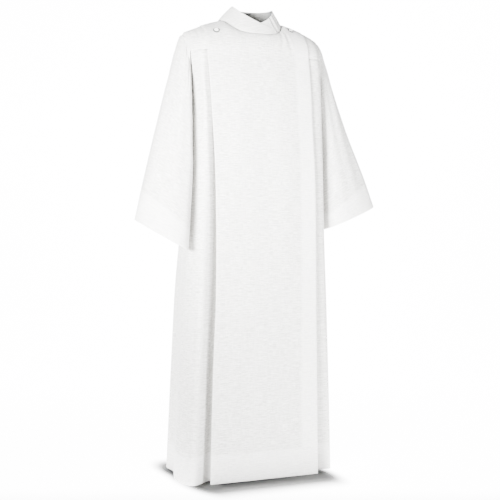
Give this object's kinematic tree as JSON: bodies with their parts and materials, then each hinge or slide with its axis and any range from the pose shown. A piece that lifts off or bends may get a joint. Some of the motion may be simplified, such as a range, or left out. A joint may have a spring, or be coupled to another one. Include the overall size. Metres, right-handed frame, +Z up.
{
  "type": "front-wrap alb",
  "caption": "Long white front-wrap alb, filled out and hollow: wide front panel with a deep side pleat, bell sleeves, stand-up collar crossing in a V, round snaps beside the neck",
  "frame": {"origin": "centre of the neck opening at the height where the shoulder seams meet the neckline, which is where the wearer's shoulders carry the alb", "axes": "+Z is up towards the collar, -Y is the front with the wide wrap panel, -X is the wearer's right"},
  "size_m": [0.836, 0.3579, 1.4761],
  "materials": {
    "linen_look_cloth": "matt white linen-look weave with fine crosswise slubs",
    "snap_plastic": "white moulded snap cap, slightly glossy"
  },
  "bodies": {
    "root": {"front_wrap": "linen_look_cloth", "right_side_front": "linen_look_cloth", "left_side_front": "linen_look_cloth", "right_front_yoke": "linen_look_cloth", "left_front_yoke": "linen_look_cloth", "back": "linen_look_cloth", "right_sleeve": "linen_look_cloth", "left_sleeve": "linen_look_cloth", "collar": "linen_look_cloth", "right_snap": "snap_plastic", "left_snap": "snap_plastic"}
  },
  "joints": []
}
